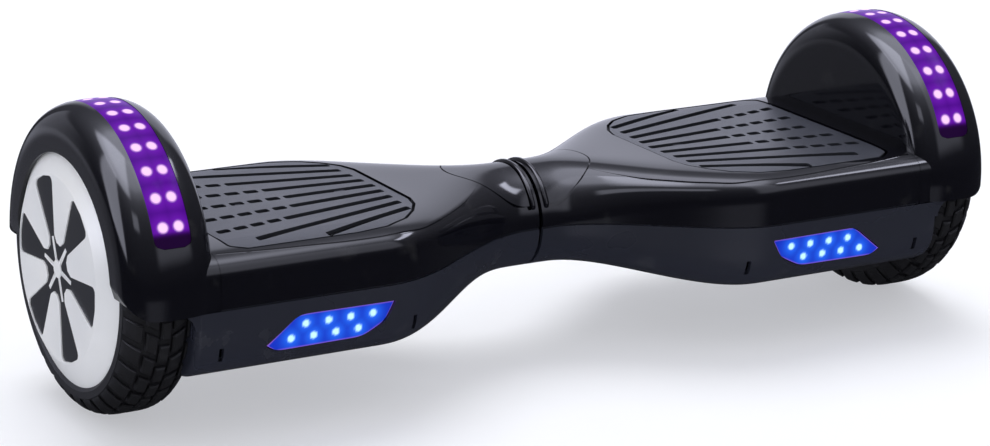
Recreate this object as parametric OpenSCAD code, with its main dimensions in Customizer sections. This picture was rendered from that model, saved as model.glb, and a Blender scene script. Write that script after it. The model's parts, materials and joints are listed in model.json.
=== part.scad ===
// Self balancing board: two twisting halves, a hub motor wheel at each end.
// X runs along the wheel axles, -Y is the lamp side, +Z is up.
// The origin is on the ground, midway between the two wheels.
// Every side module is drawn for the right half and mirrored for the left.

/* [Overall] */
// Distance from the middle of the board to each hub face
half_length = 296; // [294:1:298]
// Tyre radius, which is also the height of the wheel axis
tyre_r = 85; // [84:0.5:85.5]
// Tyre width
tyre_w = 44; // [43:0.5:44]

/* [Body] */
// Half of the body's depth at the footpads
deck_half = 88.5; // [88:0.5:90]
// Height of the deck
deck_z = 109.2; // [109:0.1:110]
// Height of the seam between the top and the bottom shell
seam_z = 78; // [77:0.5:79]
// Height of the belly
belly_z = 32; // [30:0.5:33]
// Half of the neck's depth at the pivot
neck_r = 31.5; // [31:0.5:33]
// Height of the pivot that joins the two halves
pivot_z = 80; // [79.5:0.5:80.5]
// Thickness of the top and bottom shells
wall = 2.5; // [2:0.1:3]

/* [Fender] */
// Radius of the fender at the edges of its crown
fender_r = 91.5; // [91:0.5:93]
// Radius of the fender's rounded shoulders
shoulder_r = 20; // [18:0.5:21]
// Radius of the rounded outer corners of the fender's two ends
fender_corner = 16; // [8:1:18]
// Radius of the opening that shows the hub
opening_r = 65; // [64:0.5:66]
// Thickness of the fender
fender_wall = 2.2; // [2:0.1:2.2]
// Width of the light strip along the crown
strip_w = 22; // [20:1:23]
// Number of pairs of lamps along the light strip
strip_pairs = 13; // [9:1:15]

/* [Footpads] */
// Depth of the recess that holds a footpad
recess_depth = 6; // [5.5:0.1:6]
// How far a footpad sinks under the rider
pad_travel = 1.5; // [1:0.1:1.5]
// Number of grooves along a footpad
pad_grooves = 9; // [5:2:9]

/* [Hub motor] */
// Radius of the rim that carries the tyre
rim_r = 68; // [67:0.5:68]
// Radius of the axle
axle_r = 7.5; // [7:0.5:8]
// Number of stator poles
poles = 27; // [24:3:27]
// Number of magnets
magnets = 30; // [24:2:30]
// Number of petals on the hub face
petals = 6; // [5:1:7]

/* [Hidden] */
$fn = 64;

gap = 0.2; // clearance between pieces that are fitted together
neck_x = 1.2; // where each half begins, beside the middle plane
neck_top_z = pivot_z + 31;
neck_bottom_z = pivot_z - 31.5;

// Stations along the board, from the neck to the wheel
body_xs = [
    neck_x, 8, 16, 24, 32, 40, 48, 56, 64, 72, 80, 88, 96, 104, 112, 120, 132, 150, 180, 210
];
arc_steps = 24;

// Decorative neck panel
panel_from = 8;
panel_l = 39.5;
panel_half = 29;
panel_xs = [for (x = [6:4:50]) x];

// Fender and wheel stations along X
fender_out = half_length - 3.5;
fender_in = half_length - 59;
tyre_out = half_length - 6.5;
tyre_in = tyre_out - tyre_w;
bottom_end = tyre_in - 2.5;
bottom_corner = 4;
crown_rise = 0.8;
strip_mid = half_length - 31.7;
strip_from = 20; // degrees above the horizontal where the light strip starts
first_pair = 27.4; // degrees above the horizontal of the first pair of lamps

// Deck, footpad and sensor heights
recess_z = deck_z - recess_depth;
pad_top = deck_z - 0.6;
pad_bottom = recess_z + gap + pad_travel;
tray_wall = 2;
plate_z = 87;
plate_t = 4;
board_z = plate_z + plate_t + 4;
switch_top = board_z + 3.4;
groove_half = 3;
dash_l = 8.5;
dash_gap = 3;
last_dash = 214; // where the last dash may start
plunger_r = 4;
plunger_xs = [118, 182];

// Chassis and pivot
tube_r = 15;
tube_end = 66;
bush_r = 18;
boss_r = 22;
boss_from = 38;
block_from = 212;
block_to = 234;
bolt_xs = [216.5, 229.5];
bolt_y = 12.5;

// Shell screws, given as [x, y]
screw_places = [for (y = [-1, 1]) each [[70, 36 * y], [150, 66 * y], [226, 66 * y]]];

// Hub motor stations along X
rim_in = tyre_in + 3.5;
disc_in = half_length - 13;
disc_out = half_length - 10;
bearing_w = 9;
bearing_r = 16;
inner_bearing = rim_in + 2;
outer_bearing = disc_in - bearing_w - 1.5;
stator_mid = (inner_bearing + bearing_w + outer_bearing) / 2;
stator_w = 18;
magnet_r = rim_r - 9;
hub_flat_r = 53.5;
inlay_phase = 40; // turns the petals so that one leans 20 degrees back from upright

// Rear controls
control_y = 88.6;
control_z = 56;
button_x = 128;
socket_x = 160;
cap_hinge_y = control_y + 2.5;
cap_hinge_up = 13; // above the socket's axis

// Battery pack, under the left chassis
battery_from = 82;
battery_to = 207;
battery_bottom = 43;
battery_top = 81;

// Cable routes, from the motor axle inwards
cable_r = 2.6;
over_battery = battery_top + 3;
left_route = [
    [-246, 0, tyre_r], [-209, 0, tyre_r], [-204, 0, over_battery + 0.7], [-198, 0, over_battery],
    [-88, 0, over_battery], [-80, 0, over_battery - 1], [-72, 0, pivot_z + 1], [-64, 0, pivot_z],
    [68, 0, pivot_z]
];
right_route = [
    [246, 0, tyre_r], [209, 0, tyre_r], [204, 0, 83], [200, 0, 79], [198, 0, 74],
    [195, 0, 69], [190, 0, 66.5], [184.2, 0, 66.5]
];

// ---------------------------------------------------------------- functions

function ease(t) = let (k = max(0, min(1, t))) k * k * (3 - 2 * k);
function blend(a, b, t) = a + (b - a) * ease(t);
function half_depth(x) = blend(neck_r, deck_half, (x - 8) / 124);
function top_z(x) = blend(neck_top_z, deck_z, (x - 20) / 70);
function bottom_z(x) = blend(neck_bottom_z, belly_z, (x - 15) / 110);

// The body's section is a superellipse: round at the neck, squarer at the footpads
function power(x, up) = up ? blend(2, 7, (x - 15) / 115) : blend(2.2, 4.4, (x - 20) / 110);
function lobe(v, n) = sign(v) * pow(abs(v), 2 / n);
function skin_point(x, a, inset) =
    let (
        up = a <= 180,
        n = power(x, up),
        h = (up ? top_z(x) - seam_z : seam_z - bottom_z(x)) - inset
    )
    [x, (half_depth(x) - inset) * lobe(cos(a), n), seam_z + h * lobe(sin(a), n)];

// Height of the belly's outer face at a place under the body
function belly_at(x, y) =
    let (n = power(x, false))
    seam_z - (seam_z - bottom_z(x)) * pow(1 - pow(abs(y) / half_depth(x), n), 1 / n);

// How far a rounded end of radius r has drawn in at x
function drawn_in(x, last, r) = r - sqrt(r * r - pow(max(0, x - last + r), 2));

function arc(c, r, a0, a1, n) =
    [for (i = [0:n]) let (a = a0 + (a1 - a0) * i / n) c + r * [cos(a), sin(a)]];
function unit(v) = v / norm(v);

// A polygon with each corner replaced by an arc of radius r
function rounded(pts, r, n = 5) = [
    for (i = [0:len(pts) - 1])
        let (
            p = pts[i],
            u = unit(pts[(i + len(pts) - 1) % len(pts)] - p),
            v = unit(pts[(i + 1) % len(pts)] - p),
            half = acos(u * v) / 2,
            c = p + unit(u + v) * r / sin(half),
            m = atan2(-(u + v)[1], -(u + v)[0]),
            turn = cross(u, v) > 0 ? -1 : 1
        )
        each arc(c, r, m - turn * (90 - half), m + turn * (90 - half), n)
];

// Two triangles for the four corners of a patch
function patch(a, b, c, d) = [[a, b, c], [a, c, d]];

// The points of a round section of radius r across a route at point i
function route_ring(route, i, r, sides) =
    let (
        d = unit(route[min(i + 1, len(route) - 1)] - route[max(i - 1, 0)]),
        s = unit(cross(d, abs(d[2]) < 0.9 ? [0, 0, 1] : [0, 1, 0])),
        t = cross(s, d)
    )
    [for (k = [0:sides - 1]) route[i] + r * (s * cos(360 * k / sides) + t * sin(360 * k / sides))];

// ------------------------------------------------------------- shape helpers

module left() mirror([1, 0, 0]) children();

// Turns a shape drawn about Z so that it lies about the wheel axis or the pivot
module about_x(z) translate([0, 0, z]) rotate([0, 90, 0]) children();

// A cylinder or a tube along X
module rod(x0, x1, r, z, y = 0) {
    translate([0, y, 0]) about_x(z) translate([0, 0, x0]) cylinder(h = x1 - x0, r = r);
}

module block(low, high) translate(low) cube(high - low);

// Half of the body's skin, closed at the wheel end and open at the neck and the seam
module half_shell(xs, first_angle, end_r) {
    rows = len(xs);
    cols = arc_steps + 1;
    last = xs[rows - 1];
    mid = arc_steps / 2;
    angles = [for (j = [0:arc_steps]) first_angle + 180 * j / arc_steps];
    outer = [for (x = xs) for (a = angles) skin_point(x, a, drawn_in(x, last, end_r))];
    inner = [
        for (x = xs) for (a = angles) skin_point(min(x, last - wall), a, wall + drawn_in(x, last, end_r))
    ];
    function o(i, j) = i * cols + j;
    function n(i, j) = (rows + i) * cols + j;
    e = rows - 1;
    faces = concat(
        [for (i = [0:e - 1]) for (j = [0:arc_steps - 1])
            each patch(o(i, j), o(i + 1, j), o(i + 1, j + 1), o(i, j + 1))],
        [for (i = [0:e - 1]) for (j = [0:arc_steps - 1])
            each patch(n(i, j), n(i, j + 1), n(i + 1, j + 1), n(i + 1, j))],
        [for (i = [0:e - 1]) each patch(o(i, 0), n(i, 0), n(i + 1, 0), o(i + 1, 0))],
        [for (i = [0:e - 1])
            each patch(o(i, arc_steps), o(i + 1, arc_steps), n(i + 1, arc_steps), n(i, arc_steps))],
        [for (j = [0:arc_steps - 1]) each patch(o(0, j), o(0, j + 1), n(0, j + 1), n(0, j))],
        [for (j = [0:mid - 2])
            each patch(o(e, j), o(e, arc_steps - j), o(e, arc_steps - j - 1), o(e, j + 1))],
        [for (j = [0:mid - 2])
            each patch(n(e, j), n(e, j + 1), n(e, arc_steps - j - 1), n(e, arc_steps - j))],
        [[o(e, mid - 1), o(e, mid + 1), o(e, mid)], [n(e, mid - 1), n(e, mid), n(e, mid + 1)]],
        patch(o(e, 0), n(e, 0), n(e, arc_steps), o(e, arc_steps))
    );
    polyhedron(concat(outer, inner), faces);
}

// A closed slab that follows the top of the body between two depths
module top_slab(xs, above, below, from, to) {
    rows = len(xs);
    steps = 14;
    cols = steps + 1;
    angles = [for (j = [0:steps]) from + (to - from) * j / steps];
    pts = concat(
        [for (x = xs) for (a = angles) skin_point(x, a, -above)],
        [for (x = xs) for (a = angles) skin_point(x, a, below)]
    );
    function o(i, j) = i * cols + j;
    function n(i, j) = (rows + i) * cols + j;
    e = rows - 1;
    faces = concat(
        [for (i = [0:e - 1]) for (j = [0:steps - 1])
            each patch(o(i, j), o(i + 1, j), o(i + 1, j + 1), o(i, j + 1))],
        [for (i = [0:e - 1]) for (j = [0:steps - 1])
            each patch(n(i, j), n(i, j + 1), n(i + 1, j + 1), n(i + 1, j))],
        [for (i = [0:e - 1]) each patch(o(i, 0), n(i, 0), n(i + 1, 0), o(i + 1, 0))],
        [for (i = [0:e - 1]) each patch(o(i, steps), o(i + 1, steps), n(i + 1, steps), n(i, steps))],
        [for (j = [0:steps - 1]) each patch(o(0, j), o(0, j + 1), n(0, j + 1), n(0, j))],
        [for (j = [0:steps - 1]) each patch(o(e, j), n(e, j), n(e, j + 1), o(e, j + 1))]
    );
    polyhedron(pts, faces);
}

// A round cable along a route
module cable(route, r, sides = 10) {
    rings = len(route);
    pts = [for (i = [0:rings - 1]) each route_ring(route, i, r, sides)];
    walls = [
        for (i = [0:rings - 2]) for (k = [0:sides - 1])
            let (a = i * sides, b = (k + 1) % sides)
            each patch(a + k, a + b, a + sides + b, a + sides + k)
    ];
    start = [[for (k = [sides - 1:-1:0]) k]];
    end = [[for (k = [0:sides - 1]) (rings - 1) * sides + k]];
    polyhedron(pts, concat(walls, start, end));
}

// A ring between two radii around the wheel axis, cut to an angle up from each horizontal
module top_band(x0, x1, r0, r1, from) {
    about_x(tyre_r) rotate([0, 0, 90 + from]) rotate_extrude(angle = 180 - 2 * from)
        polygon([[r0, x0], [r1, x0], [r1, x1], [r0, x1]]);
}

// ------------------------------------------------------------------- casing

// The footpad's outline on the rear side, from the neck to the wheel, and the whole of it
pad_edge = [
    [91, 34], [94, 45], [101, 56], [111, 66], [127, 74], [147, 76.5], [216, 76.5], [225, 71], [226, 50]
];
pad_outline = concat(
    [for (p = pad_edge) [p[0], -p[1]]],
    [for (i = [len(pad_edge) - 1:-1:0]) pad_edge[i]]
);
module pad_prism(z0, z1, grow) {
    middle = [158.5, 0];
    half = [67.5, 76.5];
    translate([middle[0], 0, z0]) linear_extrude(z1 - z0) polygon(rounded([
        for (p = pad_outline)
            let (q = p - middle) [q[0] * (1 + grow / half[0]), q[1] * (1 + grow / half[1])]
    ], 4, 3));
}

// Outline of the fender across its width, as [radius, x]
module fender_profile() {
    hip = [fender_r - shoulder_r, fender_in + shoulder_r];
    lip = [fender_r - shoulder_r, fender_out - shoulder_r];
    crown = [
        for (t = [0.6, 0.2, -0.2, -0.6])
            [fender_r + crown_rise * (1 - t * t), (hip[1] + lip[1]) / 2 + t * (lip[1] - hip[1]) / 2]
    ];
    polygon(concat(
        [[opening_r, fender_out]], arc(lip, shoulder_r, 90, 0, 8), crown, arc(hip, shoulder_r, 0, -90, 8),
        [[0, fender_in], [0, fender_in + fender_wall]],
        arc(hip, shoulder_r - fender_wall, -90, 0, 6), arc(lip, shoulder_r - fender_wall, 0, 90, 6),
        [[opening_r, fender_out - fender_wall]]
    ));
}

// The fender stops at the seam, and the outer corners of its two ends are rounded off
module fender() {
    corner = [fender_out - fender_corner, seam_z + fender_corner];
    intersection() {
        about_x(tyre_r) rotate_extrude() fender_profile();
        translate([0, 100, 0]) rotate([90, 0, 0]) linear_extrude(200) polygon(concat(
            [[fender_out, 200], [fender_in - 1, 200], [fender_in - 1, seam_z]],
            arc(corner, fender_corner, 270, 360, 8)
        ));
    }
}

// The top shell's front and rear walls run on under the fender's shoulder: less at their round top edges
module wheel_cheeks() {
    from = fender_in + 1;
    for (low = [true, false]) {
        angles = low ? [0, 2, 5, 10, 15, 20, 25] : [25, 30, 37, 45];
        outer = [for (a = angles) skin_point(from, a, 0)];
        inner = [for (i = [len(angles) - 1:-1:0]) skin_point(from, angles[i], fender_wall)];
        for (side = [0, 1]) mirror([0, side, 0]) translate([from, 0, 0]) rotate([90, 0, 90])
            linear_extrude(low ? 9 : 4) polygon([for (p = concat(outer, inner)) [p[1], p[2]]]);
    }
}

module axle_slot(x0, x1) {
    rod(x0, x1, axle_r + 1.5, tyre_r);
    block([x0, -axle_r - 1.5, seam_z - 5], [x1, axle_r + 1.5, tyre_r]);
}

// Raised ring where the top shell meets the other half, open towards the seam
module neck_ridge() {
    intersection() {
        about_x(pivot_z) translate([0, 0, neck_x + 2.1]) difference() {
            cylinder(h = 2.6, r = 33);
            translate([0, 0, -1]) cylinder(h = 5, r = 30);
        }
        block([0, -40, seam_z + 9], [10, 40, 120]);
    }
}

// Outline of the decorative neck panel, seen from above: a tongue that points to the footpad
module neck_outline(grow) {
    steps = 12;
    edge = [
        for (i = [0:steps])
            let (k = sin(90 * i / steps))
            [panel_from - grow + (panel_l + 2 * grow) * k, (panel_half + grow) * sqrt(1 - pow(k, 2.8))]
    ];
    linear_extrude(60)
        polygon(concat(edge, [for (i = [steps - 1:-1:0]) [edge[i][0], -edge[i][1]]]));
}

module top_shell() {
    color("#17171c") difference() {
        union() {
            half_shell(concat(body_xs, [fender_in + fender_wall / 2]), 0, 0);
            fender();
            wheel_cheeks();
            neck_ridge();
            pad_prism(recess_z - tray_wall, deck_z - wall / 2, 2);
        }
        pad_prism(recess_z, deck_z + 5, 0);
        for (x = plunger_xs) translate([x, 0, 0]) cylinder(h = 120, r = plunger_r + 0.3);
        top_band(strip_mid - strip_w / 2, strip_mid + strip_w / 2, tyre_r + 3, 100, strip_from);
        axle_slot(fender_in - 5, fender_in + 5);
        intersection() {
            top_slab(panel_xs, 2, 1.2, 18, 162);
            translate([0, 0, 70]) neck_outline(0);
        }
    }
}

module neck_panel() {
    color("#26262d") intersection() {
        top_slab(panel_xs, 0, 1.1, 18, 162);
        translate([0, 0, 70]) neck_outline(-gap);
    }
}

// Outline of the lamp, seen from the front
lamp_outline = [[130, 68], [190, 68.5], [209, 53], [204, 49.5], [150, 50], [136, 57]];
module lamp_prism(y0, y1, grow) {
    middle = [169.5, 59];
    translate([0, y1, 0]) rotate([90, 0, 0]) linear_extrude(y1 - y0)
        translate(middle) polygon(rounded([
            for (p = lamp_outline) let (q = p - middle) [q[0] * (1 + grow / 39.5), q[1] * (1 + grow / 9.5)]
        ], 1.5));
}

module shell_boss(p) {
    z0 = belly_at(p[0], abs(p[1]) + 6.5) + 1;
    translate([p[0], p[1], z0]) cylinder(h = 12, r = 6.5);
}

function screw_head_z(p) = belly_at(p[0], abs(p[1]) + 6.5) + 4;
function boss_top_z(p) = belly_at(p[0], abs(p[1]) + 6.5) + 13;

// Thin webs that round the corner between the bottom shell's end and the fender, outside the tyre
module wheel_webs() {
    r = 10;
    t = 2.2;
    for (y = [0.2 - deck_half, deck_half - t - 0.2]) translate([0, y + t, 0]) rotate([90, 0, 0])
        linear_extrude(t) polygon(concat(
            [[bottom_end - 3, seam_z - r], [bottom_end - 3, seam_z]],
            arc([bottom_end + r, seam_z - r], r, 90, 180, 6)
        ));
}

module bottom_shell() {
    ends = [for (a = [0:30:90]) bottom_end - bottom_corner * (1 - sin(a))];
    color("#23262d") difference() {
        union() {
            half_shell(concat(body_xs, ends), 180, bottom_corner);
            for (p = screw_places) shell_boss(p);
            wheel_webs();
        }
        for (p = screw_places) translate([p[0], p[1], 0]) {
            cylinder(h = screw_head_z(p), r = 4);
            cylinder(h = 100, r = 1.75);
        }
        lamp_prism(-95, -80, 0.3);
        axle_slot(bottom_end - 5, bottom_end + 1);
    }
}

// The left bottom shell also carries two ribs that the battery rests on
module left_bottom_shell() {
    left() color("#23262d") union() {
        bottom_shell();
        for (x = [120, 180]) block([x, -30, bottom_z(x) + wall / 2], [x + 3, 30, battery_bottom - 0.1]);
    }
}

// A cylinder that points forwards from the place of a rear control
module control_rod(x, y, h, r) {
    translate([x, y, control_z]) rotate([90, 0, 0]) cylinder(h = h, r = r);
}

// The right bottom shell also carries the power button and the charging socket
module right_bottom_shell() {
    color("#23262d") difference() {
        union() {
            bottom_shell();
            for (x = [button_x, socket_x]) control_rod(x, control_y, 5, 12);
        }
        for (x = [button_x, socket_x]) control_rod(x, 100, 30, 9);
    }
}

module shell_screws() {
    color("#30333a") for (p = screw_places) translate([p[0], p[1], screw_head_z(p)]) {
        translate([0, 0, -2.4]) cylinder(h = 2.4, r = 3.6);
        cylinder(h = 20, r = 1.75);
    }
}

// The grooves fan out from the neck. The middle ones are dashed beside the wheel.
function groove_y(i, x) = 12 * i * (1 + (x - 97) / 130);
function groove_end(i) = [155, 160, 174, 205, 165][abs(i)];
module pad_groove(i, from, to) {
    translate([0, 0, pad_top - 2]) linear_extrude(3) polygon([
        [from, groove_y(i, from) - groove_half], [to, groove_y(i, to) - groove_half],
        [to, groove_y(i, to) + groove_half], [from, groove_y(i, from) + groove_half]
    ]);
}

module pad() {
    half = (pad_grooves - 1) / 2;
    color("#2b2b2e") difference() {
        union() {
            pad_prism(pad_bottom, pad_top, -0.5);
            for (x = plunger_xs) translate([x, 0, switch_top + pad_travel + 0.4])
                cylinder(h = pad_bottom - switch_top - pad_travel, r = plunger_r);
        }
        for (i = [-half:half]) {
            pad_groove(i, 96 + abs(i), groove_end(i));
            if (abs(i) < 3) for (x = [groove_end(i) + dash_gap:dash_l + dash_gap:last_dash])
                pad_groove(i, x, x + dash_l);
        }
    }
}

module fender_lens() {
    half = strip_w / 2 - gap;
    bottom = fender_r - fender_wall;
    color("#7a3df0")
        top_band(strip_mid - half, strip_mid + half, bottom, fender_r + 0.4, strip_from + 0.2);
}

module fender_leds() {
    bend = fender_r - fender_wall - 2.3;
    step = (180 - 2 * first_pair) / (strip_pairs - 1);
    color("#f4c8ff") union() {
        top_band(strip_mid - 9, strip_mid + 9, bend, bend + 0.8, strip_from + 2);
        for (i = [0:strip_pairs - 1]) for (s = [-1, 1])
            about_x(tyre_r) rotate([0, 0, 90 + first_pair + step * i])
                translate([bend + 0.3, -2.5, strip_mid + s * 4.65 - 2.5]) cube([1.8, 5, 5]);
    }
}

// A shallow tray with a rim behind it, open at the back
module lamp_lens() {
    color("#2f55ff") difference() {
        union() {
            lamp_prism(-87, -80.4, 0);
            lamp_prism(-81.6, -80.4, 2);
        }
        lamp_prism(-85.4, -80, -1.6);
    }
}

// The board sits in the tray, with two staggered rows of four LEDs
module lamp_board() {
    led_x = 143.2;
    led_z = 62.8;
    color("#d8f0ff") union() {
        lamp_prism(-82.6, -81, -1.8);
        for (i = [0:3]) for (row = [0, 1]) translate([led_x + 14 * i + 9.3 * row, -84.4, led_z - 7.5 * row])
            block([-1.5, 0, -1.25], [1.5, 2.4, 1.25]);
    }
}

// ------------------------------------------------------------------ chassis

module chassis_plate() {
    translate([0, 0, plate_z]) linear_extrude(plate_t)
        polygon([[44, -28], [92, -60], [142, -72], [235, -72], [235, 72], [142, 72], [92, 60], [44, 28]]);
    for (y = [-38, 34]) block([92, y, battery_top + 0.3], [205, y + 4, plate_z]);
    block([block_from, -17, tyre_r + 0.3], [block_to, 17, tyre_r + 13]);
    for (x = [114, 186]) for (y = [-19, 19])
        translate([x, y, plate_z]) cylinder(h = board_z - plate_z, r = 3);
    rod(boss_from, 62, boss_r, pivot_z);
    for (p = screw_places)
        translate([p[0], p[1], boss_top_z(p)]) cylinder(h = plate_z + 1 - boss_top_z(p), r = 5);
}

module chassis(bore_r) {
    color("#b9bcc2") difference() {
        chassis_plate();
        rod(boss_from - 1, 80, bore_r, pivot_z);
        rod(block_from - 3, block_to + 2, axle_r, tyre_r);
        for (x = bolt_xs) for (y = [-bolt_y, bolt_y]) translate([x, y, 60]) cylinder(h = 34, r = 2.5);
        for (p = screw_places) translate([p[0], p[1], 0]) cylinder(h = screw_head_z(p) + 20, r = 1.75);
    }
}

module left_chassis() {
    left() chassis(tube_r);
}

// The right chassis turns on the bushes, and its stop screw runs in the tube's slot
module right_chassis() {
    color("#b9bcc2") difference() {
        union() {
            chassis(bush_r);
            for (x = [82, 178]) for (y = [-30, 30])
                translate([x, y, 63.6]) cylinder(h = plate_z + 1 - 63.6, r = 3.5);
        }
        translate([50, 0, 50]) cylinder(h = pivot_z - 50, r = 2.5);
    }
}

module pivot_tube() {
    color("#8f949c") difference() {
        rod(-tube_end, tube_end, tube_r, pivot_z);
        rod(-tube_end - 1, tube_end + 1, tube_r - 3, pivot_z);
        intersection() {
            block([47.2, -6, pivot_z - 20], [52.8, 6, pivot_z]);
            rod(47.2, 52.8, tube_r + 1, pivot_z);
        }
    }
}

module pivot_bushes() {
    color("#d9d4c4") for (x = [38, 54]) difference() {
        rod(x, x + 8, bush_r, pivot_z);
        rod(x - 1, x + 9, tube_r + 0.05, pivot_z);
    }
}

module pivot_stop_screw() {
    color("#70757d") translate([50, 0, 0]) {
        translate([0, 0, pivot_z - boss_r - 3]) cylinder(h = 3, r = 4.5);
        translate([0, 0, pivot_z - boss_r]) cylinder(h = boss_r - tube_r + 2, r = 2.5);
    }
}

module sensor_board() {
    color("#1f7a46") union() {
        block([110, -23, board_z], [190, 23, board_z + 1.6]);
        for (x = plunger_xs) block([x - 4, -4, board_z + 1], [x + 4, 4, switch_top]);
        block([146, 8, board_z + 1], [158, 16, board_z + 4]);
    }
}

module axle() {
    color("#a5a8ad") difference() {
        rod(block_from - 2, outer_bearing + bearing_w + 0.5, axle_r, tyre_r);
        rod(block_from - 3, inner_bearing, 3.6, tyre_r);
    }
}

module axle_clamp() {
    color("#a9adb4") difference() {
        block([block_from, -17, tyre_r - 11], [block_to, 17, tyre_r - 0.3]);
        rod(block_from - 1, block_to + 1, axle_r, tyre_r);
        for (x = bolt_xs) for (y = [-bolt_y, bolt_y]) translate([x, y, 60]) cylinder(h = 34, r = 2.5);
    }
}

module clamp_bolts() {
    color("#43474e") for (x = bolt_xs) for (y = [-bolt_y, bolt_y]) translate([x, y, tyre_r - 15]) {
        cylinder(h = 4, r = 4);
        cylinder(h = 22, r = 2.5);
    }
}

// ---------------------------------------------------------------- hub motor

module stator() {
    color("#7d8087") about_x(tyre_r) translate([0, 0, stator_mid - stator_w / 2]) difference() {
        union() {
            linear_extrude(stator_w) difference() {
                union() {
                    circle(r = 32);
                    for (i = [0:poles - 1]) rotate(360 * i / poles) {
                        translate([30, -1.6]) square([27, 3.2]);
                        translate([55.5, -5]) square([2.2, 10]);
                    }
                }
                circle(r = 26);
            }
            translate([0, 0, stator_w / 2 - 4]) cylinder(h = 8, r = 27);
        }
        translate([0, 0, -1]) cylinder(h = stator_w + 2, r = axle_r);
    }
}

module windings() {
    color("#b5652b") about_x(tyre_r) for (i = [0:poles - 1]) rotate([0, 0, 360 * i / poles])
        translate([0, 0, stator_mid]) difference() {
            translate([33.5, -3.2, -11]) cube([21, 6.4, 22]);
            translate([30, -1.7, -stator_w / 2 - 0.1]) cube([30, 3.4, stator_w + 0.2]);
        }
}

module magnet_ring() {
    color("#54575d") about_x(tyre_r) for (i = [0:magnets - 1]) rotate([0, 0, 360 * i / magnets])
        translate([magnet_r + 0.05, -5, stator_mid - 11]) cube([2.6, 10, 22]);
}

module hub_shell() {
    color("#9a9da3") difference() {
        about_x(tyre_r) rotate_extrude() polygon([
            [0, disc_out], [rim_r, disc_out], [rim_r, rim_in], [rim_r - 6, rim_in],
            [rim_r - 6, disc_in], [bearing_r + 4, disc_in], [bearing_r + 4, outer_bearing],
            [bearing_r, outer_bearing], [bearing_r, outer_bearing + bearing_w],
            [bearing_r - 2, outer_bearing + bearing_w], [bearing_r - 2, disc_in], [0, disc_in]
        ]);
        hub_screw_holes();
    }
}

module hub_screw_holes() {
    about_x(tyre_r) for (i = [0:5]) rotate([0, 0, 60 * i]) translate([rim_r - 3, 0, 0]) {
        translate([0, 0, rim_in - 4]) cylinder(h = 2.5, r = 2.8);
        translate([0, 0, rim_in - 4]) cylinder(h = 14, r = 1.5);
    }
}

module hub_cover() {
    face = rim_in - 3;
    color("#8d9096") difference() {
        about_x(tyre_r) rotate_extrude() polygon([
            [axle_r + 0.6, face], [rim_r - 0.5, face], [rim_r - 0.5, rim_in], [bearing_r + 4, rim_in],
            [bearing_r + 4, inner_bearing + bearing_w], [bearing_r, inner_bearing + bearing_w],
            [bearing_r, inner_bearing], [axle_r + 0.6, inner_bearing]
        ]);
        hub_screw_holes();
    }
}

module hub_screws() {
    color("#3c3f45") about_x(tyre_r) for (i = [0:5]) rotate([0, 0, 60 * i])
        translate([rim_r - 3, 0, rim_in - 2.9]) {
            cylinder(h = 1.4, r = 2.6);
            cylinder(h = 12, r = 1.5);
        }
}

module bearings() {
    color("#c9ccd1") for (x = [inner_bearing, outer_bearing]) difference() {
        rod(x, x + bearing_w, bearing_r, tyre_r);
        rod(x - 1, x + bearing_w + 1, axle_r + 0.03, tyre_r);
        for (end = [x - 1, x + bearing_w - 0.8]) about_x(tyre_r) translate([0, 0, end]) difference() {
            cylinder(h = 1.8, r = 14);
            translate([0, 0, -1]) cylinder(h = 4, r = 10);
        }
    }
}

// The black rosette on the hub face, with rounded silver tongues between its petals
module rosette(grow) {
    difference() {
        circle(r = hub_flat_r - 0.8 + grow);
        for (i = [0:petals - 1]) rotate(inlay_phase - 30 + 360 * i / petals)
            polygon(concat(arc([25, 0], 5.5 - grow, 105, 255, 8), [[60, -17 + grow], [60, 17 - grow]]));
    }
}

// The silver star over the rosette's centre
module star(grow) {
    circle(r = 4.8 + grow);
    for (i = [0:petals - 1]) rotate(inlay_phase + 360 * i / petals)
        translate([0, -1 - grow]) square([18 + grow, 2 + 2 * grow]);
}

module hub_face() {
    color("#d6d8de") difference() {
        about_x(tyre_r) rotate_extrude() polygon([
            [0, half_length], [hub_flat_r, half_length], [rim_r, half_length - 7.8], [rim_r, disc_out],
            [rim_r - 4, disc_out], [hub_flat_r - 2, half_length - 3.4], [0, half_length - 3.4]
        ]);
        about_x(tyre_r) translate([0, 0, half_length - 1.8]) linear_extrude(5) difference() {
            rosette(0);
            star(0);
        }
    }
}

module hub_inlay() {
    color("#141416") about_x(tyre_r) translate([0, 0, half_length - 1.8]) linear_extrude(1.2) difference() {
        rosette(-gap);
        star(gap);
    }
}

module tyre() {
    groove = 1.8;
    tread = [
        for (i = [0:16])
            let (k = i / 16, dip = (i == 5 || i == 8 || i == 11) ? groove : 0)
            [tyre_r - 10 * pow(2 * k - 1, 4) - dip, tyre_in + tyre_w * k]
    ];
    color("#1d1d1f") about_x(tyre_r) rotate_extrude() polygon(concat(
        [[rim_r, tyre_in + 1.5], [rim_r + 2, tyre_in]],
        tread,
        [[rim_r + 2, tyre_out], [rim_r, tyre_out - 1.5]]
    ));
}

// -------------------------------------------------------------- electronics

// Two layers of cells in shrink film, so its long edges are round
module battery_pack() {
    half = 46.5;
    color("#2457b8") left() translate([battery_from, 0, 0]) rotate([90, 0, 90])
        linear_extrude(battery_to - battery_from) polygon(rounded(
            [[-half, battery_bottom], [half, battery_bottom], [half, battery_top], [-half, battery_top]], 9
        ));
}

module left_cable() {
    color("#111111") cable(left_route, cable_r);
}

module right_cable() {
    color("#111111") cable(right_route, cable_r);
}

module control_board() {
    color("#1c6b3c") union() {
        block([76, -36, 62], [184, 36, 63.6]);
        for (i = [0:5]) block([93 + 13 * i, -9, 63], [103 + 13 * i, -4, 73]);
        for (y = [-24, 24]) translate([100, y, 63]) cylinder(h = 20, r = 8);
        for (y = [-26, 14]) block([150, y, 63], [166, y + 12, 72]);
        block([176, -8, 63], [184, 8, 70]);
        block([76, -12, 63], [86, -8, 70]);
    }
}

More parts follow.
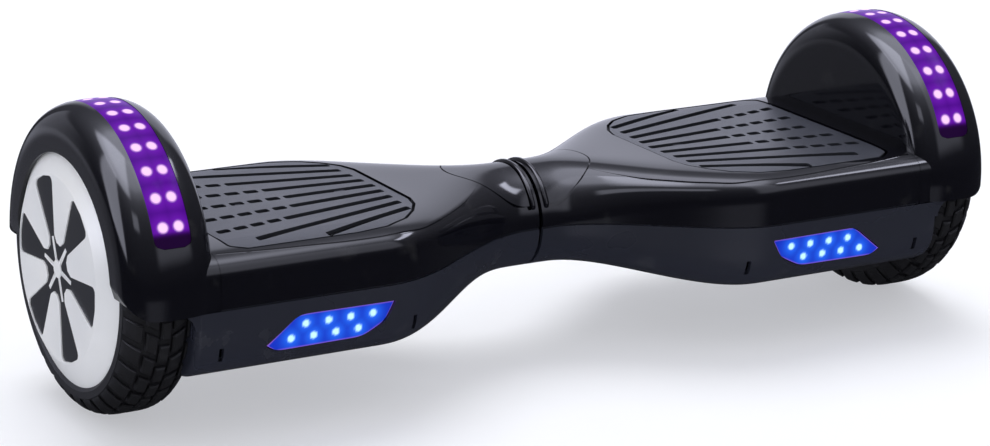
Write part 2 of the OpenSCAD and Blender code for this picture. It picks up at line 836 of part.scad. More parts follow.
module heat_sink() {
    color("#c4c7cc") union() {
        block([90, -3.9, 73], [172, 10, 76]);
        for (y = [-3.9, 2, 8]) block([90, y, 75.5], [172, y + 2, plate_z]);
    }
}

// A flanged barrel that sits in the rear wall of the bottom shell
module rear_barrel(x, inner_r, depth, floor_t) {
    translate([x, control_y, control_z]) rotate([90, 0, 0]) difference() {
        union() {
            translate([0, 0, -1.2]) cylinder(h = 1.2, r = 10.5);
            cylinder(h = depth + floor_t - 1.2, r = 9);
        }
        translate([0, 0, -2]) cylinder(h = depth + 0.8, r = inner_r);
    }
}

// Two lugs above the socket's flange carry the pins of its cap
module charge_socket() {
    color("#0f0f12") difference() {
        union() {
            rear_barrel(socket_x, 5.5, 10, 6);
            for (x = [-7.2, 5.2]) translate([socket_x + x, 0, control_z]) {
                block([0, control_y, 6], [2, control_y + 1.2, 14.8]);
                block([0, control_y, 10], [2, cap_hinge_y + 1.8, 14.8]);
            }
        }
        translate([socket_x, control_y - 4, control_z]) rotate([90, 0, 0]) for (a = [90, 210, 330])
            rotate([0, 0, a]) translate([2.8, 0, 0]) cylinder(h = 9, r = 0.9);
        rod(socket_x - 8, socket_x + 8, 0.9, control_z + cap_hinge_up, cap_hinge_y);
    }
}

module charge_cap() {
    face = control_y + 1.4;
    color("#202024") union() {
        translate([socket_x, face + 2.2, control_z]) rotate([90, 0, 0]) cylinder(h = 2.2, r = 10);
        translate([socket_x, 0, control_z]) block([-4, face, 8], [4, face + 2.2, cap_hinge_up]);
        rod(socket_x - 5, socket_x + 5, 1.1, control_z + cap_hinge_up, cap_hinge_y);
        rod(socket_x - 7, socket_x + 7, 0.8, control_z + cap_hinge_up, cap_hinge_y);
    }
}

module power_switch() {
    color("#0f0f12") rear_barrel(button_x, 6.3, 9, 4);
}

module power_button() {
    color("#c9ccd2") translate([button_x, control_y + 2, control_z])
        rotate([90, 0, 0]) cylinder(h = 7, r = 6);
}

// -------------------------------------------------------------------- nodes

left() top_shell();  // left_top_shell
top_shell();  // right_top_shell
left_bottom_shell();
right_bottom_shell();
left() neck_panel();  // left_neck_panel
neck_panel();  // right_neck_panel
left() pad();  // left_pad
pad();  // right_pad
left() sensor_board();  // left_sensor_board
sensor_board();  // right_sensor_board
left_chassis();
right_chassis();
pivot_tube();
pivot_bushes();
pivot_stop_screw();
left() fender_lens();  // left_fender_lens
fender_lens();  // right_fender_lens
left() fender_leds();  // left_fender_leds
fender_leds();  // right_fender_leds
left() lamp_lens();  // left_lamp_lens
lamp_lens();  // right_lamp_lens
left() lamp_board();  // left_lamp_board
lamp_board();  // right_lamp_board
left() axle();  // left_axle
axle();  // right_axle
left() axle_clamp();  // left_axle_clamp
axle_clamp();  // right_axle_clamp
left() clamp_bolts();  // left_clamp_bolts
clamp_bolts();  // right_clamp_bolts
left() stator();  // left_stator
stator();  // right_stator
left() windings();  // left_windings
windings();  // right_windings
left() magnet_ring();  // left_magnets
magnet_ring();  // right_magnets
left() hub_shell();  // left_hub_shell
hub_shell();  // right_hub_shell
left() hub_cover();  // left_hub_cover
hub_cover();  // right_hub_cover
left() hub_screws();  // left_hub_screws
hub_screws();  // right_hub_screws
left() bearings();  // left_bearings
bearings();  // right_bearings
left() hub_face();  // left_hub_face
hub_face();  // right_hub_face
left() hub_inlay();  // left_hub_inlay
hub_inlay();  // right_hub_inlay
left() tyre();  // left_tyre
tyre();  // right_tyre
left() shell_screws();  // left_shell_screws
shell_screws();  // right_shell_screws
battery_pack();
left_cable();
right_cable();
control_board();
heat_sink();
charge_socket();
charge_cap();
power_switch();
power_button();
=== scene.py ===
"""Looks of the self balancing board: smooth skins, tread, light strips, lamps, materials and the studio.

Lengths are in millimetres until a mesh is made. Side pieces are drawn for the right half (+X),
and mirrored for the left.
"""

import json
import math

import bmesh
import bpy
import numpy as np
from mathutils import Euler, Matrix, Vector


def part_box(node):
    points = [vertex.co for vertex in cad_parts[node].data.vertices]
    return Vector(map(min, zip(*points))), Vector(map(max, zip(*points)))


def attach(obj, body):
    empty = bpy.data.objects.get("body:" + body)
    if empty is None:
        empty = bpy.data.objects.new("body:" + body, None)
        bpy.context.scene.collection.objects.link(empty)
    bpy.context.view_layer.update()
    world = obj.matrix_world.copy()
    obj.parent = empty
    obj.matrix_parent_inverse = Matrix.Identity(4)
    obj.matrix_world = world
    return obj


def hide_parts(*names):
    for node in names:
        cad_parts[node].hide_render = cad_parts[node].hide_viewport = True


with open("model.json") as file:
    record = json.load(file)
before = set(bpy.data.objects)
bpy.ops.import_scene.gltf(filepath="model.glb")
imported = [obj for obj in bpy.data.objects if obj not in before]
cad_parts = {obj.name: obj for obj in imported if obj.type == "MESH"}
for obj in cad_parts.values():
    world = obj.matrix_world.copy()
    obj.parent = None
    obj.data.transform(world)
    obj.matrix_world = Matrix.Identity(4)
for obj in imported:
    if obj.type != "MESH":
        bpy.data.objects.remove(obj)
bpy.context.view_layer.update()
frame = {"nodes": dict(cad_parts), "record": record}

MM = 0.001
SIDES = {"right": 1, "left": -1}


def span(node):
    """Lowest and highest corner of a CAD node, in millimetres."""
    low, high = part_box(node)
    return Vector(low) / MM, Vector(high) / MM


# ---------------------------------------------------------------- dimensions

SHELL_LOW, SHELL_HIGH = span("right_top_shell")
BELLY_HIGH = span("right_bottom_shell")[1]
TYRE_LOW, TYRE_HIGH = span("right_tyre")
PAD_LOW, PAD_HIGH = span("right_pad")
FACE_LOW, FACE_HIGH = span("right_hub_face")

AXLE_Z = (TYRE_LOW.z + TYRE_HIGH.z) / 2
TYRE_R = AXLE_Z - TYRE_LOW.z
SEAM_Z = SHELL_LOW.z
NECK_X = SHELL_LOW.x
FENDER_OUT = SHELL_HIGH.x
FENDER_HALF = 27.75
FENDER_IN = FENDER_OUT - 2 * FENDER_HALF
FENDER_MID = FENDER_OUT - FENDER_HALF
FENDER_R = 91.5
CROWN_RISE = 0.8
SHOULDER_R = 20
SHOULDER_POWER = 2.5
FENDER_CORNER = 16
OPENING_R = 65
FENDER_WALL = 2.2
WALL = 2.5

DECK_HALF = 88.5
DECK_Z = PAD_HIGH.z + 0.6
RECESS_Z = DECK_Z - 6
NECK_HALF = 31.5
NECK_TOP = 111
NECK_BOTTOM = 48.5
BELLY_Z = 32
BOTTOM_END = BELLY_HIGH.x
BOTTOM_CORNER = 4

STRIP_MID = FENDER_OUT - 28.2
STRIP_HALF = 11
STRIP_FROM = 20
FIRST_PAIR = 27.4
STRIP_PAIRS = 13
PAIR_HALF = 4.65

RIM_R = FACE_HIGH.z - AXLE_Z
HUB_FLAT_R = 53.5
PETALS = 6
PETAL_LEAN = 20

# The footpad's outline on the rear side, from the neck to the wheel, and the whole of it
PAD_EDGE = [
    (91, 34), (94, 45), (101, 56), (111, 66), (127, 74), (147, 76.5), (216, 76.5), (225, 71), (226, 50),
]
PAD_OUTLINE = [(x, -y) for x, y in PAD_EDGE] + PAD_EDGE[::-1]
GROOVE_ENDS = [155, 160, 174, 205, 165]
GROOVE_HALF = 2.9
DASH = 8.5
DASH_GAP = 3

LAMP_LOW = [(130, 68), (136, 57), (150, 50), (204, 49.5), (209, 53)]
LAMP_HIGH = [(130, 68), (190, 68.5), (209, 53)]
LAMP_FRONT = -87

# The crease that parts the deck from the shoulder, as (x, distance from the middle)
CREASE = [
    (39, 22.5), (50, 34), (62, 46), (86, 65), (107, 78.5), (130, 83), (156, 83), (206, 80.5), (235.5, 77.5),
]
SCREWS = [(70, 36), (150, 66), (226, 66)]
SLOTS = [(68, 43.5, 3), (114.5, 52, 9), (237, 52, 8)]
REAR_HOLES = [128, 160]
CONTROL_Z = 56
SCREW_EDGE = 6.5  # the floor of a screw's hole is 4 mm above the skin this far outwards from it

SEAM_CUT = 1.4  # depth of the dark gap along the seam
PANEL_FROM = 6.4
PANEL_L = 41
PANEL_HALF = 29
WEB_R = 10

TREAD_DROP = 10  # how much lower the tread is at its edges than in its middle
TREAD_DEPTH = 2.6
BLOCKS_AROUND = 34
PETAL_HALF_TURN = 14.4  # degrees
PETAL_CORNER = 3.6
INLAY_DEPTH = 1.8
CENTRE_R = 15.2

# The lamp's first LED, the step along a row, and how the second row is shifted and dropped
LED_X = 143.2
LED_Z = 62.8
LED_STEP = 14
ROW_SHIFT = 9.3
ROW_DROP = 7.5
LIT_BEFORE = 4.2  # degrees before the first pair where the strip's glow starts

# How finely the shapes are drawn
TOP_COLUMNS = 150
BELLY_COLUMNS = 130
FENDER_COLUMNS = 151
LAMP_COLUMNS = 90
LAMP_ROWS = 22
BAR_SIDES = 10
DISC_SIDES = 40
SHARP = 35  # degrees: an edge that turns by more stays sharp

# ------------------------------------------------------------ shape formulas


def ease(t):
    t = np.clip(t, 0, 1)
    return t * t * (3 - 2 * t)


def blend(a, b, t):
    return a + (b - a) * ease(t)


def half_depth(x):
    return blend(NECK_HALF, DECK_HALF, (x - 8) / 124)


def top_z(x):
    return blend(NECK_TOP, DECK_Z, (x - 20) / 70)


def bottom_z(x):
    return blend(NECK_BOTTOM, BELLY_Z, (x - 15) / 110)


def power(x, up):
    """Exponent of the body's section: round at the neck, squarer at the footpads."""
    return blend(2, 7, (x - 15) / 115) if up else blend(2.2, 4.4, (x - 20) / 110)


def skin_z(x, y, up=True):
    """Height of the body's skin above or below a place."""
    n = power(x, up)
    share = np.clip(1 - (np.abs(y) / half_depth(x)) ** n, 0, 1) ** (1 / n)
    return SEAM_Z + (top_z(x) - SEAM_Z) * share if up else SEAM_Z - (SEAM_Z - bottom_z(x)) * share


def skin_y(x, z):
    """Distance of the lower skin from the middle plane at a height."""
    n = power(x, False)
    return half_depth(x) * (1 - ((SEAM_Z - z) / (SEAM_Z - bottom_z(x))) ** n) ** (1 / n)


def lobe(n, half, height):
    """A fine superellipse arch from -half to half, with the length run along it."""
    t = np.linspace(0, 1, 1501)
    quarter = 0.5 * math.pi * t**4 / (t**4 + (1 - t) ** 4)
    angle = np.concatenate([quarter, math.pi - quarter[-2::-1]])
    across = -half * np.sign(np.cos(angle)) * np.abs(np.cos(angle)) ** (2 / n)
    up = height * np.sin(angle) ** (2 / n)
    run = np.concatenate([[0], np.cumsum(np.hypot(np.diff(across), np.diff(up)))])
    return across, up, run


def section(x, up, inset, count, seam_cut):
    """Points across the skin at x, evenly spaced from the front (-Y) to the rear.

    The first and last points, at the seam, are drawn in by seam_cut to leave a narrow dark gap.
    """
    height = (top_z(x) - SEAM_Z if up else SEAM_Z - bottom_z(x)) - inset
    y, z, run = lobe(power(x, up), half_depth(x) - inset, height)
    edge = np.array([0, 0.45, 0.55])
    stops = np.concatenate([edge, np.linspace(1.6, run[-1] - 1.6, count - 5), run[-1] - edge[::-1]])
    y = np.interp(stops, run, y)
    z = np.interp(stops, run, z)
    y[[0, 1, -2, -1]] *= 1 - seam_cut / half_depth(x)
    return np.column_stack([np.full(count + 1, x), y, SEAM_Z + z if up else SEAM_Z - z])


def smooth_line(points, step):
    """A polyline through the points, resampled at even steps and softened."""
    points = np.array(points, float)
    run = np.concatenate([[0], np.cumsum(np.linalg.norm(np.diff(points, axis=0), axis=1))])
    stops = np.linspace(0, run[-1], int(run[-1] / step) + 1)
    line = np.column_stack([np.interp(stops, run, points[:, i]) for i in range(points.shape[1])])
    for _ in range(30):
        line[1:-1] = (line[:-2] + 2 * line[1:-1] + line[2:]) / 4
    return line


def rounded(points, radius, steps=6):
    """A closed outline with its corners rounded."""
    out = []
    count = len(points)
    for i, corner in enumerate(points):
        corner = Vector(corner)
        u = (Vector(points[i - 1]) - corner).normalized()
        v = (Vector(points[(i + 1) % count]) - corner).normalized()
        half = u.angle(v) / 2
        centre = corner + (u + v).normalized() * radius / math.sin(half)
        start = (corner + u * radius / math.tan(half)) - centre
        end = (corner + v * radius / math.tan(half)) - centre
        turn = start.angle_signed(end)
        out += [centre + Matrix.Rotation(-turn * k / steps, 2) @ start for k in range(steps + 1)]
    return [(p.x, p.y) for p in out]


def scaled(points, grow):
    """A closed outline pushed out by grow along both axes."""
    points = np.array(points, float)
    middle = (points.min(axis=0) + points.max(axis=0)) / 2
    half = (points.max(axis=0) - points.min(axis=0)) / 2
    return (middle + (points - middle) * (1 + grow / half)).tolist()


# --------------------------------------------------------------- mesh makers


class Mesh:
    """Vertices in millimetres and faces, gathered from several parts."""

    def __init__(self):
        self.verts = []
        self.faces = []

    def add(self, verts, faces):
        base = len(self.verts)
        self.verts += [tuple(v) for v in verts]
        self.faces += [tuple(base + i for i in f) for f in faces]
        return self

    def grid(self, points, wrap=False, flip=False):
        """A sheet of quads over a grid of points; wrap joins the last column to the first."""
        points = np.asarray(points, float)
        rows, cols = points.shape[:2]
        faces = []
        for i in range(rows - 1):
            for j in range(cols if wrap else cols - 1):
                k = (j + 1) % cols
                face = (i * cols + j, i * cols + k, (i + 1) * cols + k, (i + 1) * cols + j)
                faces.append(face[::-1] if flip else face)
        return self.add(points.reshape(-1, 3), faces)

    def slab(self, outer, inner):
        """A closed solid between two sheets of the same size."""
        rows, cols = outer.shape[:2]
        edge = [(0, j) for j in range(cols - 1)]
        edge += [(i, cols - 1) for i in range(rows - 1)]
        edge += [(rows - 1, j) for j in range(cols - 1, 0, -1)]
        edge += [(i, 0) for i in range(rows - 1, 0, -1)]
        base = len(self.verts)
        self.grid(outer)
        self.grid(inner, flip=True)
        here = [base + i * cols + j for i, j in edge]
        there = [k + rows * cols for k in here]
        for a in range(len(edge)):
            b = (a + 1) % len(edge)
            self.faces.append((here[b], here[a], there[a], there[b]))
        return self

    def prism(self, outline, low, high, axis="z"):
        """A closed prism over an outline, along Z, or along X or Y from an outline in the other two."""
        place = {
            "z": lambda a, b, h: (a, b, h),
            "y": lambda a, b, h: (a, h, b),
            "x": lambda a, b, h: (h, a, b),
        }[axis]
        count = len(outline)
        verts = [place(a, b, h) for h in (low, high) for a, b in outline]
        faces = [tuple(range(count))[::-1], tuple(range(count, 2 * count))]
        faces += [(i, (i + 1) % count, count + (i + 1) % count, count + i) for i in range(count)]
        return self.add(verts, faces)

    def box(self, low, high):
        outline = [(low[0], low[1]), (high[0], low[1]), (high[0], high[1]), (low[0], high[1])]
        return self.prism(outline, low[2], high[2])

    def tube(self, path, radii):
        """A closed round bar along a path, with a radius for each of its points."""
        path = np.asarray(path, float)
        ahead = np.gradient(path, axis=0)
        ahead /= np.linalg.norm(ahead, axis=1)[:, None]
        across = np.cross(ahead, (0, 0, 1))
        across /= np.linalg.norm(across, axis=1)[:, None]
        up = np.cross(across, ahead)
        turns = np.linspace(0, 2 * math.pi, BAR_SIDES, endpoint=False)
        rings = [
            p + radius * (np.outer(np.cos(turns), a) + np.outer(np.sin(turns), u))
            for p, a, u, radius in zip(path, across, up, radii)
        ]
        base = len(self.verts)
        self.grid(rings, wrap=True)
        last = base + (len(path) - 1) * BAR_SIDES
        self.faces.append(tuple(base + k for k in reversed(range(BAR_SIDES))))
        self.faces.append(tuple(last + k for k in range(BAR_SIDES)))
        return self

    def disc(self, place, radius, low, high, axis="z"):
        """A closed cylinder."""
        turns = [2 * math.pi * k / DISC_SIDES for k in range(DISC_SIDES)]
        outline = [(place[0] + radius * math.cos(t), place[1] + radius * math.sin(t)) for t in turns]
        return self.prism(outline, low, high, axis)

    def ring(self, profile, angles):
        """A closed profile of (radius, x) turned all the way round the wheel axis."""
        radius, x = np.asarray(profile, float).T
        points = np.stack([
            np.column_stack([x, -radius * math.cos(a), AXLE_Z + radius * math.sin(a)])
            for a in angles
        ], axis=1)
        return self.grid(np.concatenate([points, points[:1]]), wrap=True)

    def object(self, name, side=1, sharp=SHARP):
        """A Blender object of this mesh, mirrored when side is -1, with edges sharper than an angle kept."""
        mesh = bpy.data.meshes.new(name)
        verts = [(side * x * MM, y * MM, z * MM) for x, y, z in self.verts]
        faces = self.faces if side > 0 else [f[::-1] for f in self.faces]
        mesh.from_pydata(verts, [], faces)
        obj = bpy.data.objects.new(name, mesh)
        bpy.context.scene.collection.objects.link(obj)
        tidy(obj, sharp)
        return obj


def tidy(obj, sharp):
    """Welds doubled points, points the faces outwards and marks the sharp edges."""
    work = bmesh.new()
    work.from_mesh(obj.data)
    bmesh.ops.remove_doubles(work, verts=work.verts, dist=1e-6)
    bmesh.ops.recalc_face_normals(work, faces=work.faces)
    for face in work.faces:
        face.smooth = True
    for edge in work.edges:
        edge.smooth = len(edge.link_faces) != 2 or edge.calc_face_angle(0) < math.radians(sharp)
    work.to_mesh(obj.data)
    work.free()


def bake(obj):
    """Turns the object's modifiers into plain mesh."""
    graph = bpy.context.evaluated_depsgraph_get()
    mesh = bpy.data.meshes.new_from_object(obj.evaluated_get(graph))
    obj.modifiers.clear()
    obj.data = mesh
    tidy(obj, SHARP)


def cut(obj, cutter):
    """Takes the cutter's volume away from an object."""
    step = obj.modifiers.new("cut", "BOOLEAN")
    step.operation = "DIFFERENCE"
    step.solver = "EXACT"
    step.object = cutter
    bake(obj)
    bpy.data.objects.remove(cutter)


def even(obj):
    """Shades large flat faces flat, with the small faces around them taking up the turn."""
    step = obj.modifiers.new("even", "WEIGHTED_NORMAL")
    step.weight = 100
    step.keep_sharp = True


def soften(obj, width):
    """Rounds the sharp edges."""
    step = obj.modifiers.new("soften", "BEVEL")
    step.width = width * MM
    step.segments = 2
    step.limit_method = "ANGLE"
    step.angle_limit = math.radians(SHARP)
    step.use_clamp_overlap = True
    step.harden_normals = True


def join(parts, name):
    """One object out of several."""
    work = bmesh.new()
    for part in parts:
        work.from_mesh(part.data)
        bpy.data.objects.remove(part)
    mesh = bpy.data.meshes.new(name)
    work.to_mesh(mesh)
    work.free()
    obj = bpy.data.objects.new(name, mesh)
    bpy.context.scene.collection.objects.link(obj)
    return obj


def mirrored(obj, name):
    """A copy of an object mirrored across the middle plane."""
    twin = bpy.data.objects.new(name, obj.data.copy())
    bpy.context.scene.collection.objects.link(twin)
    work = bmesh.new()
    work.from_mesh(twin.data)
    bmesh.ops.scale(work, vec=(-1, 1, 1), verts=work.verts)
    bmesh.ops.reverse_faces(work, faces=work.faces)
    work.to_mesh(twin.data)
    work.free()
    return twin


# ------------------------------------------------------------------- shells


def stations():
    """Places along X of the body's sections: close together at the neck, wider at the footpads."""
    return np.concatenate([[NECK_X, NECK_X + 0.6], np.arange(3.2, 132, 1.6), np.arange(133, 237, 2.6)])


def half_skin(up, xs, end_r=0):
    """The outer and inner sheets of a body half, drawn in to a rounded end of radius end_r."""
    count = TOP_COLUMNS if up else BELLY_COLUMNS
    last = xs[-1]
    outer = []
    inner = []
    for x in xs:
        drawn = end_r - math.sqrt(end_r**2 - max(0, x - last + end_r) ** 2)
        outer.append(section(x, up, drawn, count, SEAM_CUT))
        inner.append(section(min(x, last - WALL), up, WALL + drawn, count, 0))
    return np.array(outer), np.array(inner)


def panel_sheet(grow, lift):
    """The neck panel's outline laid on the skin, lifted by an amount."""
    start = PANEL_FROM - grow
    length = PANEL_L + 2 * grow
    half = PANEL_HALF + grow
    sheet = []
    for turn in np.linspace(0, math.pi / 2 * 0.985, 36):
        k = math.sin(turn)
        x = start + length * k
        ys = np.linspace(-1, 1, 41) * half * math.sqrt(1 - k**2.8)
        row = []
        for y in ys:
            z = float(skin_z(x, y))
            away = Vector((0, y, (z - SEAM_Z) * (half_depth(x) / (top_z(x) - SEAM_Z)) ** 2)).normalized()
            row.append((x, y + away.y * lift, z + away.z * lift))
        sheet.append(row)
    return np.array(sheet)


def fender_profile(inset):
    """The fender across its width as (radius, x), from the opening over the crown and down to the axle."""
    across, up, run = lobe(SHOULDER_POWER, FENDER_HALF - inset, SHOULDER_R + CROWN_RISE - inset)
    stops = np.linspace(0, run[-1], 60)
    radius = FENDER_R - SHOULDER_R + np.interp(stops, run, up)
    x = FENDER_MID - np.interp(stops, run, across)
    lip = [(OPENING_R, FENDER_OUT - inset)]
    wall = [(r, FENDER_IN + inset) for r in (60, 40, 20, 9)]
    return np.concatenate([lip, np.column_stack([radius, x]), wall])


def fender_radius(x):
    """Radius of the fender's outside at x."""
    share = np.abs(x - FENDER_MID) / FENDER_HALF
    arch = (1 - share**SHOULDER_POWER) ** (1 / SHOULDER_POWER)
    return FENDER_R - SHOULDER_R + (SHOULDER_R + CROWN_RISE) * arch


def fender_sheet(inset):
    """The fender's outside, or its inside, turned about the wheel axis down to its ends.

    The ends are at the seam, and rounded up at the outer corner.
    """
    radius, x = fender_profile(inset).T
    beyond = np.maximum(x - FENDER_OUT + FENDER_CORNER, 0)
    fall = AXLE_Z - SEAM_Z - FENDER_CORNER + np.sqrt(FENDER_CORNER**2 - beyond**2)
    below = np.arcsin(np.clip(fall / radius, -1, 0.9))
    turns = np.linspace(-below, math.pi + below, FENDER_COLUMNS, axis=1)
    y = -radius[:, None] * np.cos(turns)
    z = AXLE_Z + radius[:, None] * np.sin(turns)
    return np.stack([np.repeat(x[:, None], FENDER_COLUMNS, axis=1), y, z], axis=2)


def fender_meets(radius):
    """Where along X the fender's inner shoulder comes to a radius."""
    rise = np.clip((radius - FENDER_R + SHOULDER_R) / (SHOULDER_R + CROWN_RISE), 0, 1)
    return FENDER_MID - FENDER_HALF * (1 - rise**SHOULDER_POWER) ** (1 / SHOULDER_POWER)


def wheel_cheeks():
    """The front and rear walls of the top shell that run on until they meet the fender's shoulder."""
    walls = [section(FENDER_IN + 0.5, True, inset, TOP_COLUMNS, 0) for inset in (0, FENDER_WALL)]
    low = walls[0][:, 1] < 15 - DECK_HALF
    outer, inner = (wall[low] for wall in walls)
    reach = fender_meets(np.hypot(outer[:, 1], outer[:, 2] - AXLE_Z)) + 1
    cheeks = Mesh()
    for side in (1, -1):
        sheets = []
        for row in (outer, inner):
            end = np.column_stack([reach, row[:, 1:]])
            sheets.append(np.stack([row, end]) * [1, side, 1])
        cheeks.slab(*sheets)
    return cheeks.object("cheeks")


def strip_width(along):
    """Half width of the light strip at a distance from its nearer end, with rounded corners."""
    corner = 5
    inwards = np.clip(corner - along, 0, corner)
    return STRIP_HALF - corner + np.sqrt(corner**2 - inwards**2)


def strip_sheet(lift, shrink, columns, rows):
    """A sheet over the light strip, lifted off the fender's outside and drawn in at its edges."""
    first = math.radians(STRIP_FROM) + shrink / FENDER_R
    turns = np.linspace(first, math.pi - first, rows + 1)
    along = np.minimum(turns - first, math.pi - first - turns) * FENDER_R
    x = STRIP_MID + np.outer(strip_width(along) - shrink, np.linspace(-1, 1, columns + 1))
    radius = fender_radius(x) + lift
    y = -radius * np.cos(turns)[:, None]
    z = AXLE_Z + radius * np.sin(turns)[:, None]
    return np.stack([x, y, z], axis=2)


def top_shell():
    """The gloss top shell with its fender, footpad recess, creases and neck pocket."""
    shell = Mesh().slab(*half_skin(True, np.append(stations(), 238))).object("shell")
    outline = rounded(scaled(PAD_OUTLINE, 0.4), 4)
    cut(shell, Mesh().prism(outline, RECESS_Z - 4, 130).object("recess"))
    for side in (-1, 1):
        line = smooth_line(CREASE, 1.5)
        path = np.column_stack([line[:, 0], side * line[:, 1], skin_z(line[:, 0], line[:, 1])])
        cut(shell, Mesh().tube(path, 0.1 + 0.7 * ease((line[:, 0] - NECK_X - 38) / 30)).object("crease"))
    cut(shell, Mesh().slab(panel_sheet(0.5, 2), panel_sheet(0.5, -1.7)).object("pocket"))
    wide = rounded(scaled(PAD_OUTLINE, 2.5), 6.5)
    rings = [(wide, RECESS_Z - 2), (wide, DECK_Z - 3.2), (outline, DECK_Z - 3.2), (outline, RECESS_Z)]
    tray = Mesh().grid([[(x, y, z) for x, y in loop] for loop, z in rings], wrap=True)
    count = len(outline)
    tray.faces += [tuple(range(count)), tuple(range(3 * count, 4 * count))]
    arch = Mesh().slab(fender_sheet(0), fender_sheet(FENDER_WALL)).object("fender")
    cut(arch, Mesh().slab(strip_sheet(6, 0, 12, 150), strip_sheet(-8, 0, 12, 150)).object("slot"))
    return join([shell, tray.object("tray"), arch, wheel_cheeks(), neck_ridge()], "top_shell")


def neck_ridge():
    """The thin raised ring on the top shell beside the middle, which dies away at both its ends."""
    first = math.radians(17)
    turns = np.linspace(first, math.pi - first, 91)
    fade = ease(np.minimum(turns - first, math.pi - first - turns) / 0.12)
    profile = [(0, 3.3), (2.5, 3.3), (3.0, 3.8), (3.1, 4.6), (3.0, 5.4), (2.5, 5.9), (0, 5.9)]
    rows = []
    for up, x in profile + profile[:1]:
        lift = up * fade - 1.5
        y = -(half_depth(x) + lift) * np.cos(turns)
        z = SEAM_Z + (top_z(x) - SEAM_Z + lift) * np.sin(turns)
        rows.append(np.column_stack([np.full(len(turns), x), y, z]))
    return Mesh().grid(np.array(rows)).object("ridge", sharp=60)


def lamp_sheet(grow, y):
    """The lamp's outline as a flat grid at a depth."""
    low = np.array(LAMP_LOW)
    high = np.array(LAMP_HIGH)
    share = np.linspace(0, 1, LAMP_COLUMNS + 1)
    share = (1 - np.cos(math.pi * share)) / 2
    xs = low[0, 0] + (low[-1, 0] - low[0, 0]) * share
    soft = smooth_line(np.column_stack([xs, np.interp(xs, *low.T)]), 0.8)
    bottom = np.interp(xs, *soft.T) - grow
    soft = smooth_line(np.column_stack([xs, np.interp(xs, *high.T)]), 0.8)
    top = np.interp(xs, *soft.T) + grow
    middle = (low[0, 0] + low[-1, 0]) / 2
    stretched = middle + (xs - middle) * (1 + 2 * grow / (low[-1, 0] - low[0, 0]))
    rise = np.linspace(0, 1, LAMP_ROWS + 1)
    zs = bottom[:, None] + np.maximum(top - bottom, 0.3)[:, None] * rise
    return np.stack([np.repeat(stretched[:, None], LAMP_ROWS + 1, axis=1), np.full(zs.shape, y), zs], axis=2)


def bottom_shell(rear):
    """The satin bottom shell with its lamp opening, screw holes and slots.

    With rear, it also has the holes for the two rear controls.
    """
    ends = BOTTOM_END - BOTTOM_CORNER + BOTTOM_CORNER * np.sin(np.linspace(0, math.pi / 2, 9))
    outer, inner = half_skin(False, np.append(stations(), ends), BOTTOM_CORNER)
    middle = np.array([0, 0, SEAM_Z])
    shrink = [0.9, 0.6, 0.3, 0.05]

    def closed(sheet):
        rim = sheet[-1]
        fill = [middle * (1 - k) + rim * [1, k, k] for k in shrink]
        return np.concatenate([sheet, np.array(fill)])

    shell = Mesh().slab(closed(outer), closed(inner)).object("belly")
    holes = Mesh()
    for x, y in SCREWS:
        for side in (-1, 1):
            holes.disc((x, side * y), 4, 20, skin_z(x, y + SCREW_EDGE, False) + 4)
    if rear:
        for x in REAR_HOLES:
            holes.disc((x, CONTROL_Z), 10.8, 78, 95, axis="y")
    cut(shell, holes.object("holes"))
    slots = Mesh()
    for x, z, tall in SLOTS:
        depth = float(skin_y(x, z))
        slots.box((x - 1.4, -depth - 6, z - tall / 2), (x + 1.4, -depth + 4, z + tall / 2))
    cut(shell, slots.object("slots"))
    cut(shell, Mesh().slab(lamp_sheet(0.5, -80), lamp_sheet(0.5, -96)).object("lamp_hole"))
    cut(shell, Mesh().disc((0, AXLE_Z), 9, BOTTOM_END - 8, BOTTOM_END + 4, axis="x").object("axle_hole"))
    tubes = Mesh()
    for x, y in SCREWS:
        for side in (-1, 1):
            floor = float(skin_z(x, y + SCREW_EDGE, False)) + 4
            tubes.disc((x, side * y), 6, floor, floor + 6)
    return join([shell, tubes.object("bosses"), wheel_webs()], "bottom_shell")


def wheel_webs():
    """Thin webs that round the corner between the bottom shell's end and the fender."""
    corner = [(BOTTOM_END - 5, SEAM_Z - WEB_R), (BOTTOM_END - 5, SEAM_Z)]
    for turn in np.linspace(0, math.pi / 2, 13):
        x = BOTTOM_END + WEB_R * (1 - math.sin(turn))
        corner.append((x, SEAM_Z - WEB_R * (1 - math.cos(turn))))
    webs = Mesh()
    for side in (-1, 1):
        webs.prism(corner, side * (DECK_HALF - 0.1), side * (DECK_HALF - 2.4), axis="y")
    return webs.object("webs")


# ------------------------------------------------------- pads, tyre and hub


def fan(k, x):
    """Where a footpad's groove number k lies across the pad, at x."""
    return 12 * k * (1 + (x - 97) / 130)


def pad_grooves():
    """Bars that cut the footpad's grooves: the middle ones are dashed beside the wheel."""
    bars = Mesh()

    def bar(k, first, last):
        outline = [
            (first, fan(k, first) - GROOVE_HALF), (last, fan(k, last) - GROOVE_HALF),
            (last, fan(k, last) + GROOVE_HALF), (first, fan(k, first) + GROOVE_HALF),
        ]
        bars.prism(rounded(outline, 1.4, 3), PAD_HIGH.z - 2.4, PAD_HIGH.z + 1)

    for k in range(-4, 5):
        end = GROOVE_ENDS[abs(k)]
        bar(k, 96 + abs(k), end)
        if abs(k) > 2:
            continue
        for start in np.arange(end + DASH_GAP, 223 - DASH, DASH + DASH_GAP):
            bar(k, start, start + DASH)
    return bars


